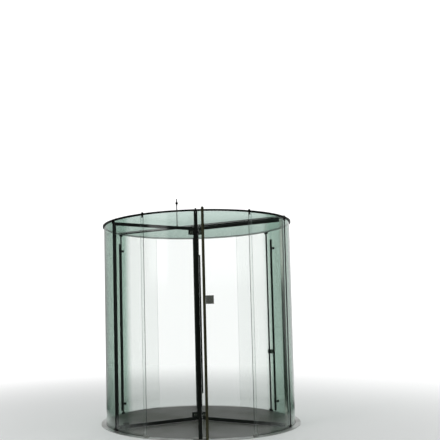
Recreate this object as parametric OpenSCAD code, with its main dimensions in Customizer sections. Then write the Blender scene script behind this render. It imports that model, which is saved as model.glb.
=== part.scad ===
// Three-wing all-glass revolving door with a pair of curved night leaves.
// Origin: on the door's turning axis at floor level. +Z up, +X to the right
// and +Y through the door, away from the side that the night leaves close.

/* [Drum] */
// Outer diameter of the curved glass walls
drum_d = 3000; // [2600:10:4000]
// Height from the floor to the underside of the top ring
ring_z = 3140; // [2400:10:3600]
// Angle that each curved wall covers
wall_span = 120; // [112:1:124]
// Angle from the wall's middle to the joint beside it
wall_joint_at = 30; // [24:1:34]
// How far the joints and the ceiling bar are turned on from that place
joint_turn = 3.5; // [-8:0.5:8]
// Thickness of the curved wall glass
wall_glass_t = 12; // [8:1:18]

/* [Wall joints] */
// Width of the upright profile between two panes
joint_w = 30; // [24:1:44]
// How far the profile stands proud of the glass on each face
joint_proud = 3; // [2:0.5:4]
// Space between the edges of two panes inside the profile
joint_pane_gap = 8; // [4:1:12]
// How far the end clamps stand proud of the profile
clamp_proud = 0.8; // [0.4:0.1:1.5]
// Width of the clamp at the profile's ends
joint_clamp_w = 90; // [46:1:110]
// Height of the clamp at the profile's ends
joint_clamp_h = 34; // [24:1:80]

/* [Floor] */
// Thickness of the floor ring and of the mat inside it
floor_t = 10; // [6:1:16]
// How far the floor ring reaches outside the wall glass
floor_flange = 80; // [70:1:120]
// How far the floor ring reaches inside the wall glass
floor_lip = 10; // [8:1:20]
// Depth of the groove that holds the wall glass
floor_groove = 5; // [3:0.5:5.5]
// Number of anchor holes in the floor ring
anchor_count = 12; // [6:1:24]
// Diameter of an anchor hole
anchor_d = 11; // [7:0.5:14]
// Distance from the floor ring's edge to the anchor holes
anchor_edge = 22; // [14:1:28]

/* [Top ring and ceiling] */
// Height of the top ring's section
ring_h = 22; // [20:1:30]
// How far the top ring reaches outside the wall glass
ring_out = 20; // [18:1:30]
// How far the top ring reaches inside the wall glass
ring_in = 12; // [10:1:20]
// Depth of the groove for the wall glass
ring_groove = 4; // [2:0.5:5]
// Width of the seat for the ceiling glass
ceiling_seat = 18; // [12:1:22]
// Thickness of the ceiling glass
ceiling_t = 14; // [10:1:14]
// Play round the edge of the ceiling glass in its seat
ceiling_play = 2; // [1:0.5:4]
// Width of the ceiling joint bar
bar_w = 40; // [30:1:60]
// Height of the bar above the ceiling glass
bar_top_h = 16; // [8:1:30]
// Thickness of the web between the two ceiling panes
bar_web_t = 6; // [4:1:10]
// How far the ends of the joint bar lie on the top ring
bar_seat = 14; // [6:1:16]

/* [Hanger rod] */
// Distance from the axis to the hanger rod
hanger_at = 349; // [200:1:600]
// Diameter of the hanger rod
hanger_d = 16; // [12:1:24]
// Height of the rod's foot on the joint bar
hanger_foot_h = 10; // [6:1:20]
// Height of the ball coupling above the bar
hanger_ball_h = 398; // [150:1:600]
// Diameter of the ball coupling
hanger_ball_d = 44; // [34:1:60]
// Length of the threaded stud above the ball
hanger_stud_l = 50; // [30:1:120]

/* [Shaft and hubs] */
// Outer diameter of the centre shaft
shaft_d = 89; // [76:1:110]
// Wall of the centre shaft
shaft_wall = 6; // [5:0.5:10]
// Diameter of the pivots at both ends
pivot_d = 30; // [20:1:36]
// Length of a pivot inside the shaft
pivot_l = 44; // [30:1:60]
// Solid length of the shaft beyond the end of a pivot
shaft_plug_l = 30; // [20:1:60]
// Depth of the grooves in the shaft that take the glass
shaft_groove = 3; // [2:0.5:4]
// Thickness of the pivot plate on the floor
pivot_plate_h = 4; // [3:0.5:5]
// Margin of the pivot plate round the shaft
pivot_plate_margin = 25; // [15:1:40]
// Height of the bearing cup under the ceiling
bearing_cup_h = 8; // [6:1:20]
// Margin of the bearing cup round the shaft
bearing_cup_margin = 15; // [8:1:30]
// Width of the ledge between the shaft's rim and the thrust collar
thrust_ledge = 10; // [4:1:14]
// Reach of the hub clamps from the axis
hub_reach = 136; // [110:1:180]
// Height of a hub clamp
hub_h = 76; // [50:1:120]
// Thickness of a hub clamp across the glass
hub_t = 44; // [36:1:60]
// Thickness of the hub's collar round the shaft
hub_collar_t = 8; // [6:1:16]
// Border round the recess in a hub clamp's face
hub_face_inset = 12; // [8:1:18]
// Depth of the recess in a hub clamp's face
hub_face_depth = 3; // [1:0.5:5]

/* [Wings] */
// How far the wings are turned on from three even places
wing_turn = 2; // [-20:0.5:20]
// Thickness of the wing glass
wing_glass_t = 12; // [8:1:14]
// Height of a wing's top rail
top_rail_h = 40; // [36:1:90]
// Height of a wing's bottom rail
bottom_rail_h = 45; // [40:1:90]
// Thickness of the rails and of the outer stile
rail_t = 30; // [26:1:40]
// Width of the outer stile
stile_w = 38; // [30:1:80]
// Depth to which the rails and the stile take the glass
glass_bite = 12; // [8:1:18]
// Length of the brush bristles beyond the stile
brush_l = 10; // [6:1:20]
// Thickness of the brush strips
brush_t = 9; // [6:1:14]

/* [Push bars] */
// Distance from the outer stile to the middle of the push bar
push_from_stile = 109; // [45:1:500]
// Diameter of the push bar
push_d = 30; // [22:1:40]
// Gap between the glass and the push bar
push_gap = 84; // [30:2:110]
// Height of the push bar's lower end
push_z = 270; // [150:5:600]
// Length of the push bar
push_l = 2540; // [1000:10:2700]
// Distance from the bar's end to its standoff
push_end = 118; // [60:1:250]
// Diameter of a standoff
standoff_d = 16; // [12:1:22]
// Diameter of a standoff's rosette
rosette_d = 38; // [30:1:50]
// Thickness of a rosette
rosette_t = 6; // [3:1:8]

/* [Floor bolt on a wing] */
// Width of the floor bolt's case
bolt_w = 90; // [60:1:120]
// Height of the floor bolt's case
bolt_h = 88; // [70:1:120]
// Depth of the floor bolt's case
bolt_t = 26; // [18:1:36]
// Distance from the stile to the case
bolt_from_stile = 67; // [10:1:120]
// Height of the case above the rail's lower edge
bolt_lift = 2; // [0:1:20]
// Diameter of the floor bolt's rod
bolt_rod_d = 16; // [10:1:20]
// Diameter of the lock's recess in the case
bolt_lock_d = 24; // [16:1:30]
// Height of the lock's recess above the case's lower edge
bolt_lock_z = 55; // [35:1:56]

/* [Night leaves] */
// Gap between the wall glass and the leaf glass
leaf_gap = 6; // [5.5:0.5:8]
// Thickness of the leaf glass
leaf_t = 10; // [8:1:12]
// How far a closed leaf overlaps the end of the wall
leaf_lap = 38; // [20:1:44]
// Gap between the floor ring and the leaf glass
leaf_lift = 6; // [5:0.5:12]
// Width of the left leaf's meeting stile
meeting_w = 50; // [36:1:60]
// Depth of the meeting stile
meeting_t = 26; // [24:1:34]
// Gap between the meeting stile and the right leaf's glass
meeting_gap = 5; // [5:0.5:8]
// How far the meeting stile stands inside the leaf glass
meeting_in = 5; // [4:0.5:5.5]
// Diameter of the right leaf's full-height post
post_d = 40; // [30:1:44]
// Distance from the meeting line to the post
post_from_meeting = 92; // [80:1:160]
// Number of brackets between the post and the glass
post_brackets = 4; // [2:1:6]
// Diameter of a bracket between the post and the glass
post_bracket_d = 18; // [12:1:24]
// Distance from the glass's end to the nearest bracket
post_bracket_end = 150; // [80:5:400]
// Diameter of the roller on the post's top
post_roller_d = 24; // [16:1:50]
// Diameter of the small rollers
small_roller_d = 14; // [12:1:24]
// Width of a roller
roller_w = 14; // [10:1:18]
// Distance from the top ring's edge to a roller
roller_inset = 3; // [1:0.5:5]
// Diameter of a roller's axle
axle_d = 8; // [6:1:12]
// Width of a hanger's plate
hanger_plate_w = 22; // [18:1:40]
// Thickness of a hanger's plate
hanger_plate_t = 6; // [4:1:10]
// Height of a hanger's foot on the glass
hanger_grip_h = 36; // [20:1:60]
// Height of a hanger's plate above its axle
hanger_over_axle = 6; // [5:1:14]
// Distance from a leaf's tail to the middle of its hanger
hanger_from_tail = 40; // [20:1:80]
// Length of a guide shoe
shoe_l = 70; // [40:1:120]
// Height of a guide shoe above the floor ring
shoe_h = 30; // [20:1:50]
// Thickness of a guide shoe outside the glass
shoe_t = 4; // [3:0.5:8]
// Width of the lock case on the right leaf
lock_w = 105; // [70:1:130]
// Height of the lock case
lock_h = 116; // [80:1:160]
// Depth of the lock case
lock_t = 40; // [26:1:44]
// Gap between the post and the lock case
lock_from_post = 4; // [2:1:30]
// Diameter of the cylinder's recess in the lock case
lock_recess_d = 28; // [20:1:40]
// Depth of the recesses in the lock case and the floor bolt
lock_recess = 4; // [2:0.5:6]
// Height of the lock case's middle above the floor
lock_z = 1905; // [900:5:2000]

/* [Control box] */
// Width of the control box on the wall joint
control_w = 100; // [70:1:120]
// Height of the control box
control_h = 72; // [50:1:110]
// Depth of the control box
control_t = 38; // [24:1:60]
// Height of the control box's middle above the floor
control_z = 1040; // [800:5:1400]

/* [Clearances] */
// Gap of a moving edge to a fixed face
running_gap = 5; // [5:0.5:8]
// Gap of a seated or sliding face
seat_gap = 0.3; // [0.2:0.05:0.5]
// Radial clearance of a pivot in its bore
pivot_play = 0.05; // [0.03:0.01:0.08]

/* [Hidden] */

// Colours of the finishes
glass_green = [0.62, 0.76, 0.70, 0.45];
black_steel = [0.05, 0.05, 0.05];
polished_steel = [0.55, 0.50, 0.42];
stainless = [0.78, 0.78, 0.77];
mat_grey = [0.22, 0.23, 0.23];
box_grey = [0.42, 0.43, 0.42];
brush_black = [0.02, 0.02, 0.02];
arc_fn = 180;
round_fn = 48;
// How far a cut runs past the face that it opens, in mm or in degrees
cut = 1;
cut_deg = 0.02;

// Radii that everything is set out from
wall_ro = drum_d / 2;
wall_ri = wall_ro - wall_glass_t;
joint_ri = wall_ri - joint_proud;
joint_ro = wall_ro + joint_proud;
floor_ro = wall_ro + floor_flange;
floor_ri = wall_ri - floor_lip;
ring_ro = wall_ro + ring_out;
ring_ri = wall_ri - ring_in;
seat_r = ring_ri + ceiling_seat;
tip_r = joint_ri - running_gap;
leaf_ri = wall_ro + leaf_gap;
leaf_ro = leaf_ri + leaf_t;
wall_mid_r = (wall_ri + wall_ro) / 2;
leaf_mid_r = (leaf_ri + leaf_ro) / 2;

// Levels that everything is set out from
floor_z = floor_t;
ring_top = ring_z + ring_h;
ceiling_z = ring_top - ceiling_t;
seat_z = ceiling_z - seat_gap;
bar_z0 = ring_z;
bar_z1 = ring_top + bar_top_h;
brush_z0 = floor_z + running_gap;
brush_z1 = ring_z - running_gap;
rail_z0 = brush_z0 + running_gap;
rail_z1 = ring_z - bearing_cup_h - running_gap;
shaft_z0 = rail_z0;
shaft_z1 = rail_z1;
leaf_z0 = floor_z + leaf_lift;
leaf_z1 = ring_z - running_gap;

// Angles of the wall joints, of the bar from joint to joint, the wings and the wall ends
front_left_at = 180 + wall_joint_at + joint_turn;
back_left_at = 180 - wall_joint_at + joint_turn;
front_right_at = 360 - wall_joint_at + joint_turn;
back_right_at = wall_joint_at + joint_turn;
bar_at = back_left_at;
left_wing_at = 210 + wing_turn;
right_wing_at = 330 + wing_turn;
back_wing_at = 90 + wing_turn;
wing_angles = [left_wing_at, right_wing_at, back_wing_at];
meeting_at = 270;
left_wall_end = 180 + wall_span / 2;
right_wall_end = 360 - wall_span / 2;

// Wing set-out
shaft_r = shaft_d / 2;
stile_x1 = tip_r - brush_l;
stile_x0 = stile_x1 - stile_w;
wing_x0 = shaft_r - shaft_groove + seat_gap;
wing_x1 = stile_x0 + glass_bite;
wing_z0 = rail_z0 + bottom_rail_h - glass_bite;
wing_z1 = rail_z1 - top_rail_h + glass_bite;
groove_t = wing_glass_t + 2 * seat_gap;
brush_x0 = shaft_r + max(pivot_plate_margin, bearing_cup_margin) + running_gap;
push_at = stile_x0 - push_from_stile;
push_y = -(wing_glass_t / 2 + push_gap + push_d / 2);
standoff_levels = [push_z + push_end, push_z + push_l - push_end];
post_r = ring_ro + running_gap + post_d / 2;

// Angle in degrees that a length takes along an arc
function arc_deg(len, r) = len / r * 180 / PI;

// A piece of a ring between two radii, two levels and two angles
module arc_bar(r0, r1, z0, z1, a0, a1) {
  rotate([0, 0, a0])
    rotate_extrude(angle = a1 - a0, $fn = arc_fn)
      translate([r0, z0])
        square([r1 - r0, z1 - z0]);
}

// A cylinder that points outwards along X
module x_cylinder(r, x0, x1, z) {
  translate([x0, 0, z])
    rotate([0, 90, 0])
      cylinder(r = r, h = x1 - x0, $fn = round_fn);
}

// Stainless ring in the floor that holds the glass and takes the anchors
module floor_ring() {
  anchor_r = floor_ro - anchor_edge;
  color(stainless)
    difference() {
      rotate_extrude($fn = arc_fn)
        difference() {
          translate([floor_ri, 0])
            square([floor_ro - floor_ri, floor_t]);
          translate([wall_ri - seat_gap, floor_t - floor_groove])
            square([wall_glass_t + 2 * seat_gap, floor_groove + cut]);
        }
      for (i = [0 : anchor_count - 1])
        rotate([0, 0, (i + 0.5) * 360 / anchor_count])
          translate([anchor_r, 0, -cut])
            cylinder(d = anchor_d, h = floor_t + 2 * cut, $fn = round_fn);
    }
}

// Round mat that covers the floor inside the ring
module floor_mat() {
  color(mat_grey)
    cylinder(r = floor_ri - seat_gap, h = floor_t, $fn = arc_fn);
}

// Plate and pin that the shaft turns on
module floor_pivot() {
  color(stainless)
    translate([0, 0, floor_z]) {
      cylinder(r = shaft_r + pivot_plate_margin, h = pivot_plate_h, $fn = round_fn);
      cylinder(d = pivot_d - 2 * pivot_play, h = shaft_z0 - floor_z + pivot_l, $fn = round_fn);
      cylinder(r = shaft_r - thrust_ledge, h = shaft_z0 - floor_z - seat_gap, $fn = round_fn);
    }
}

// One bent pane that stands in the floor ring and the top ring
module wall_pane(a0, a1) {
  color(glass_green)
    arc_bar(wall_ri, wall_ro, floor_t - floor_groove, ring_z + ring_groove - seat_gap, a0, a1);
}

// Angle from a joint's centre to the edge of the pane beside it
pane_edge = arc_deg(joint_pane_gap / 2, wall_mid_r);

module left_wall_front() {
  wall_pane(front_left_at + pane_edge, left_wall_end);
}

module left_wall_middle() {
  wall_pane(back_left_at + pane_edge, front_left_at - pane_edge);
}

module left_wall_back() {
  wall_pane(180 - wall_span / 2, back_left_at - pane_edge);
}

module right_wall_front() {
  wall_pane(right_wall_end, front_right_at - pane_edge);
}

module right_wall_middle() {
  wall_pane(front_right_at - 360 + pane_edge, back_right_at - pane_edge);
}

module right_wall_back() {
  wall_pane(back_right_at + pane_edge, wall_span / 2);
}

// Upright profile with a clamp at each end, between two bent panes
module wall_joint(at) {
  half = arc_deg(joint_w / 2, wall_mid_r);
  clamp_half = arc_deg(joint_clamp_w / 2, wall_mid_r);
  top = ring_z;
  color(black_steel)
    rotate([0, 0, at])
      difference() {
        union() {
          arc_bar(joint_ri + clamp_proud, joint_ro - clamp_proud, floor_z, top, -half, half);
          for (z = [floor_z, top - joint_clamp_h])
            arc_bar(joint_ri, joint_ro, z, z + joint_clamp_h, -clamp_half, clamp_half);
        }
        for (side = [-1, 1])
          arc_bar(wall_ri - seat_gap, wall_ro + seat_gap, floor_z - cut, top + cut,
                  side > 0 ? pane_edge - cut_deg : -clamp_half - cut,
                  side > 0 ? clamp_half + cut : cut_deg - pane_edge);
      }
}

module front_left_joint() {
  wall_joint(front_left_at);
}

module back_left_joint() {
  wall_joint(back_left_at);
}

module front_right_joint() {
  wall_joint(front_right_at);
}

module back_right_joint() {
  wall_joint(back_right_at);
}

// Flat steel ring on top of the walls, with a seat for the ceiling glass
module top_ring() {
  color(black_steel)
    translate([0, 0, ring_z])
      rotate_extrude($fn = arc_fn)
        difference() {
          translate([ring_ri, 0])
            square([ring_ro - ring_ri, ring_h]);
          translate([ring_ri - cut, seat_z - ring_z])
            square([ceiling_seat + cut, ring_top - seat_z + cut]);
          translate([wall_ri - seat_gap, -cut])
            square([wall_glass_t + 2 * seat_gap, ring_groove + cut]);
        }
}

// Half of the round glass ceiling, on one side of the joint bar
module ceiling_half(side) {
  r = seat_r - ceiling_play;
  color(glass_green)
    rotate([0, 0, bar_at])
      translate([0, 0, ceiling_z])
        intersection() {
          cylinder(r = r, h = ceiling_t, $fn = arc_fn);
          translate([-r - cut, side > 0 ? bar_web_t / 2 + seat_gap : -r - cut, -cut])
            cube([2 * (r + cut), r + cut - bar_web_t / 2 - seat_gap, ceiling_t + 2 * cut]);
        }
}

module ceiling_front() {
  ceiling_half(1);
}

module ceiling_back() {
  ceiling_half(-1);
}

// Bar across the ceiling: a lower plate, a web between the panes and a bar on top
module ceiling_joint_bar() {
  low_r = ring_ri - ceiling_play;
  web_r = seat_r - ceiling_play;
  top_r = seat_r + bar_seat;
  color(black_steel)
    rotate([0, 0, bar_at])
      intersection() {
        union() {
          translate([-low_r, -bar_w / 2, bar_z0])
            cube([2 * low_r, bar_w, seat_z - bar_z0]);
          translate([-web_r, -bar_web_t / 2, seat_z])
            cube([2 * web_r, bar_web_t, ring_top - seat_z]);
          translate([-top_r, -bar_w / 2, ring_top])
            cube([2 * top_r, bar_w, bar_top_h]);
        }
        union() {
          translate([0, 0, bar_z0])
            cylinder(r = low_r, h = seat_z - bar_z0, $fn = arc_fn);
          translate([0, 0, seat_z])
            cylinder(r = web_r, h = ring_top - seat_z, $fn = arc_fn);
          translate([0, 0, ring_top])
            cylinder(r = top_r, h = bar_top_h, $fn = arc_fn);
        }
      }
}

// Cup and pin under the joint bar that hold the shaft upright
module top_bearing() {
  pin_l = ring_z - shaft_z1 + pivot_l;
  color(stainless)
    translate([0, 0, ring_z]) {
      translate([0, 0, -bearing_cup_h])
        cylinder(r = shaft_r + bearing_cup_margin, h = bearing_cup_h, $fn = round_fn);
      translate([0, 0, -pin_l])
        cylinder(d = pivot_d - 2 * pivot_play, h = pin_l, $fn = round_fn);
    }
}

// Rod that ties the joint bar to the building above
module hanger_rod() {
  color(black_steel)
    rotate([0, 0, bar_at])
      translate([hanger_at, 0, bar_z1]) {
        cylinder(d = bar_w, h = hanger_foot_h, $fn = round_fn);
        cylinder(d = hanger_d, h = hanger_ball_h + hanger_ball_d / 2 + hanger_stud_l, $fn = round_fn);
        translate([0, 0, hanger_ball_h])
          sphere(d = hanger_ball_d, $fn = round_fn);
      }
}

// Push-button box on the outside of the back right wall joint
module control_box() {
  half = arc_deg(control_w / 2, joint_ro);
  color(box_grey)
    arc_bar(joint_ro, joint_ro + control_t, control_z - control_h / 2, control_z + control_h / 2,
            back_right_at - half, back_right_at + half);
}

// Tube that carries the wings, bored at both ends for the pivots
module centre_shaft() {
  plug_l = pivot_l + shaft_plug_l;
  color(black_steel)
    difference() {
      translate([0, 0, shaft_z0])
        cylinder(r = shaft_r, h = shaft_z1 - shaft_z0, $fn = round_fn);
      translate([0, 0, shaft_z0 + plug_l])
        cylinder(r = shaft_r - shaft_wall, h = shaft_z1 - shaft_z0 - 2 * plug_l, $fn = round_fn);
      translate([0, 0, shaft_z0 - cut])
        cylinder(d = pivot_d, h = shaft_z1 - shaft_z0 + 2 * cut, $fn = round_fn);
      for (a = wing_angles)
        rotate([0, 0, a])
          translate([shaft_r - shaft_groove, -groove_t / 2, wing_z0 - seat_gap])
            cube([shaft_groove + cut, groove_t, wing_z1 - wing_z0 + 2 * seat_gap]);
    }
}

// Clamps that hold the inner corners of the wings, joined by a collar
module hub(z0) {
  collar_r = shaft_r + hub_collar_t;
  face_x0 = collar_r + hub_face_inset;
  color(black_steel)
    translate([0, 0, z0])
      difference() {
        linear_extrude(height = hub_h)
          difference() {
            union() {
              circle(r = collar_r, $fn = round_fn);
              for (a = wing_angles)
                rotate([0, 0, a])
                  translate([0, -hub_t / 2])
                    square([hub_reach, hub_t]);
            }
            circle(r = shaft_r + seat_gap, $fn = round_fn);
            for (a = wing_angles)
              rotate([0, 0, a])
                translate([0, -groove_t / 2])
                  square([hub_reach + cut, groove_t]);
          }
        for (a = wing_angles)
          for (side = [-1, 1])
            rotate([0, 0, a])
              translate([face_x0, side * hub_t / 2 - hub_face_depth, hub_face_inset])
                cube([hub_reach - hub_face_inset - face_x0, 2 * hub_face_depth, hub_h - 2 * hub_face_inset]);
      }
}

module top_hub() {
  hub(rail_z1 - top_rail_h - hub_h);
}

module bottom_hub() {
  hub(rail_z0 + bottom_rail_h);
}

// Flat pane of a wing, drilled for the push bar
module wing_glass(at) {
  color(glass_green)
    rotate([0, 0, at])
      difference() {
        translate([wing_x0, -wing_glass_t / 2, wing_z0])
          cube([wing_x1 - wing_x0, wing_glass_t, wing_z1 - wing_z0]);
        for (z = standoff_levels)
          translate([push_at, wing_glass_t / 2 + cut, z])
            rotate([90, 0, 0])
              cylinder(d = standoff_d + 2 * seat_gap, h = wing_glass_t + 2 * cut, $fn = round_fn);
      }
}

module left_wing_glass() {
  wing_glass(left_wing_at);
}

module right_wing_glass() {
  wing_glass(right_wing_at);
}

module back_wing_glass() {
  wing_glass(back_wing_at);
}

// Rail with a coped inner end and a groove for the glass on one edge
module wing_rail(at, z0, h, groove_z) {
  color(black_steel)
    rotate([0, 0, at])
      difference() {
        translate([0, -rail_t / 2, z0])
          cube([stile_x0, rail_t, h]);
        translate([0, 0, z0 - cut])
          cylinder(r = shaft_r + seat_gap, h = h + 2 * cut, $fn = round_fn);
        translate([-cut, -groove_t / 2, groove_z])
          cube([stile_x0 + 2 * cut, groove_t, glass_bite + seat_gap]);
      }
}

module wing_top_rail(at) {
  wing_rail(at, rail_z1 - top_rail_h, top_rail_h, rail_z1 - top_rail_h);
}

module wing_bottom_rail(at) {
  wing_rail(at, rail_z0, bottom_rail_h, rail_z0 + bottom_rail_h - glass_bite - seat_gap);
}

module left_wing_top_rail() {
  wing_top_rail(left_wing_at);
}

module right_wing_top_rail() {
  wing_top_rail(right_wing_at);
}

module back_wing_top_rail() {
  wing_top_rail(back_wing_at);
}

module left_wing_bottom_rail() {
  wing_bottom_rail(left_wing_at);
}

module right_wing_bottom_rail() {
  wing_bottom_rail(right_wing_at);
}

module back_wing_bottom_rail() {
  wing_bottom_rail(back_wing_at);
}

// Upright at a wing's outer edge
module wing_stile(at, finish) {
  color(finish)
    rotate([0, 0, at])
      difference() {
        translate([stile_x0, -rail_t / 2, rail_z0])
          cube([stile_w, rail_t, rail_z1 - rail_z0]);
        translate([stile_x0 - cut, -groove_t / 2, wing_z0 - seat_gap])
          cube([glass_bite + seat_gap + cut, groove_t, wing_z1 - wing_z0 + 2 * seat_gap]);
      }
}

module left_wing_stile() {
  wing_stile(left_wing_at, black_steel);
}

module right_wing_stile() {
  wing_stile(right_wing_at, polished_steel);
}

module back_wing_stile() {
  wing_stile(back_wing_at, black_steel);
}

// Brush strips along the top, the outer edge and the bottom of a wing
module wing_brushes(at) {
  color(brush_black)
    rotate([0, 0, at]) {
      translate([stile_x1, -brush_t / 2, brush_z0])
        cube([tip_r - stile_x1, brush_t, brush_z1 - brush_z0]);
      translate([brush_x0, -brush_t / 2, brush_z0])
        cube([stile_x1 - brush_x0, brush_t, rail_z0 - brush_z0]);
      translate([brush_x0, -brush_t / 2, rail_z1])
        cube([stile_x1 - brush_x0, brush_t, brush_z1 - rail_z1]);
    }
}

module left_wing_brushes() {
  wing_brushes(left_wing_at);
}

module right_wing_brushes() {
  wing_brushes(right_wing_at);
}

module back_wing_brushes() {
  wing_brushes(back_wing_at);
}

// Tall push bar on the face that is pushed, with two bolted standoffs
module push_bar(at) {
  face = wing_glass_t / 2;
  color(black_steel)
    rotate([0, 0, at])
      translate([push_at, 0, 0]) {
        translate([0, push_y, push_z])
          cylinder(d = push_d, h = push_l, $fn = round_fn);
        for (z = standoff_levels)
          translate([0, 0, z])
            rotate([90, 0, 0]) {
              translate([0, 0, -face - rosette_t])
                cylinder(d = standoff_d, h = face + rosette_t - push_y, $fn = round_fn);
              translate([0, 0, face])
                cylinder(d = rosette_d, h = rosette_t, $fn = round_fn);
              translate([0, 0, -face - rosette_t])
                cylinder(d = rosette_d, h = rosette_t, $fn = round_fn);
            }
      }
}

module left_push_bar() {
  push_bar(left_wing_at);
}

module right_push_bar() {
  push_bar(right_wing_at);
}

module back_push_bar() {
  push_bar(back_wing_at);
}

// Floor bolt in a case on the left wing's bottom rail
module floor_bolt() {
  x0 = stile_x0 - bolt_from_stile - bolt_w;
  case_z0 = rail_z0 + bolt_lift;
  color(box_grey)
    rotate([0, 0, left_wing_at])
      difference() {
        union() {
          translate([x0, rail_t / 2, case_z0])
            cube([bolt_w, bolt_t, bolt_h]);
          translate([x0 + bolt_w / 2, rail_t / 2 + bolt_t / 2, brush_z0])
            cylinder(d = bolt_rod_d, h = bolt_h, $fn = round_fn);
        }
        translate([x0 + bolt_w / 2, rail_t / 2 + bolt_t + cut, case_z0 + bolt_lock_z])
          rotate([90, 0, 0])
            cylinder(d = bolt_lock_d, h = lock_recess + cut, $fn = round_fn);
      }
}

// Angles of the leaves' edges when they are closed
meeting_half = arc_deg(meeting_w / 2, leaf_mid_r);
leaf_lap_deg = arc_deg(leaf_lap, leaf_mid_r);
left_leaf_tail = left_wall_end - leaf_lap_deg;
right_leaf_tail = right_wall_end + leaf_lap_deg;
right_leaf_nose = meeting_at + meeting_half + arc_deg(meeting_gap, leaf_mid_r);
post_at = meeting_at + arc_deg(post_from_meeting, leaf_mid_r);
meeting_r0 = leaf_ri - meeting_in;
meeting_r1 = meeting_r0 + meeting_t;
tail_hanger_inset = arc_deg(hanger_from_tail, leaf_mid_r);
shoe_deg = arc_deg(shoe_l, leaf_mid_r);
roller_r1 = ring_ro - roller_inset;
roller_r0 = roller_r1 - roller_w;

module left_leaf_glass() {
  bite = arc_deg(glass_bite, leaf_mid_r);
  color(glass_green)
    arc_bar(leaf_ri, leaf_ro, leaf_z0, leaf_z1, left_leaf_tail, meeting_at - meeting_half + bite);
}

// Black meeting stile of the left leaf
module left_leaf_stile() {
  bite = arc_deg(glass_bite + seat_gap, leaf_mid_r);
  edge_at = meeting_at - meeting_half;
  color(black_steel)
    difference() {
      arc_bar(meeting_r0, meeting_r1, leaf_z0, leaf_z1, edge_at, meeting_at + meeting_half);
      arc_bar(leaf_ri - seat_gap, leaf_ro + seat_gap, leaf_z0 - cut, leaf_z1 + cut,
              edge_at - cut, edge_at + bite);
    }
}

// Bracket over the edge of the top ring with a roller that runs on the ring
module leaf_hanger(at, face_r, roller_d) {
  plate_x0 = max(ring_ro + running_gap, face_r);
  roller_z = ring_top + seat_gap + roller_d / 2;
  grip_z0 = leaf_z1 - hanger_grip_h;
  rotate([0, 0, at]) {
    translate([face_r, -hanger_plate_w / 2, grip_z0])
      cube([plate_x0 + hanger_plate_t - face_r, hanger_plate_w, hanger_grip_h]);
    translate([plate_x0, -hanger_plate_w / 2, grip_z0])
      cube([hanger_plate_t, hanger_plate_w, roller_z + hanger_over_axle - grip_z0]);
    x_cylinder(axle_d / 2, roller_r0, plate_x0 + cut, roller_z);
    x_cylinder(roller_d / 2, roller_r0, roller_r1, roller_z);
  }
}

module left_leaf_hangers() {
  color(black_steel) {
    leaf_hanger(left_leaf_tail + tail_hanger_inset, leaf_ro, small_roller_d);
    leaf_hanger(meeting_at, meeting_r1, small_roller_d);
  }
}

// Guide shoe that holds the glass's lower edge over the floor ring
module leaf_shoe(a0, a1) {
  difference() {
    arc_bar(wall_ro + running_gap, leaf_ro + shoe_t, floor_z + seat_gap, floor_z + shoe_h, a0, a1);
    arc_bar(leaf_ri - seat_gap / 3, leaf_ro + seat_gap, leaf_z0 - seat_gap, floor_z + shoe_h + cut,
            a0 - cut, a1 + cut);
  }
}

module left_leaf_shoes() {
  color(stainless) {
    leaf_shoe(left_leaf_tail, left_leaf_tail + shoe_deg);
    leaf_shoe(meeting_at - meeting_half - shoe_deg, meeting_at - meeting_half - cut_deg);
  }
}

module right_leaf_glass() {
  color(glass_green)
    arc_bar(leaf_ri, leaf_ro, leaf_z0, leaf_z1, right_leaf_nose, right_leaf_tail);
}

// Full-height polished post on brackets, with the roller that runs on the ring
module right_leaf_post() {
  roller_z = ring_top + seat_gap + post_roller_d / 2;
  first_z = leaf_z0 + post_bracket_end;
  step_z = (leaf_z1 - post_bracket_end - first_z) / (post_brackets - 1);
  color(polished_steel)
    rotate([0, 0, post_at]) {
      translate([post_r, 0, leaf_z0])
        cylinder(d = post_d, h = roller_z - leaf_z0, $fn = round_fn);
      translate([post_r, 0, roller_z])
        sphere(d = post_d, $fn = round_fn);
      x_cylinder(axle_d / 2, roller_r0, post_r, roller_z);
      x_cylinder(post_roller_d / 2, roller_r0, roller_r1, roller_z);
      for (i = [0 : post_brackets - 1])
        x_cylinder(post_bracket_d / 2, leaf_ro, post_r, first_z + i * step_z);
    }
}

// Lock case on the glass beside the post
module right_leaf_lock() {
  face_r = leaf_ro + lock_t;
  a0 = post_at + arc_deg(post_d / 2 + lock_from_post, leaf_ro + lock_t / 2);
  a1 = a0 + arc_deg(lock_w, leaf_ro + lock_t / 2);
  color(box_grey)
    difference() {
      arc_bar(leaf_ro, face_r, lock_z - lock_h / 2, lock_z + lock_h / 2, a0, a1);
      rotate([0, 0, (a0 + a1) / 2])
        x_cylinder(lock_recess_d / 2, face_r - lock_recess, face_r + cut, lock_z);
    }
}

module right_leaf_hanger() {
  color(black_steel)
    leaf_hanger(right_leaf_tail - tail_hanger_inset, leaf_ro, small_roller_d);
}

module right_leaf_shoes() {
  color(stainless) {
    leaf_shoe(right_leaf_nose, right_leaf_nose + shoe_deg);
    leaf_shoe(right_leaf_tail - shoe_deg, right_leaf_tail);
  }
}

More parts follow.
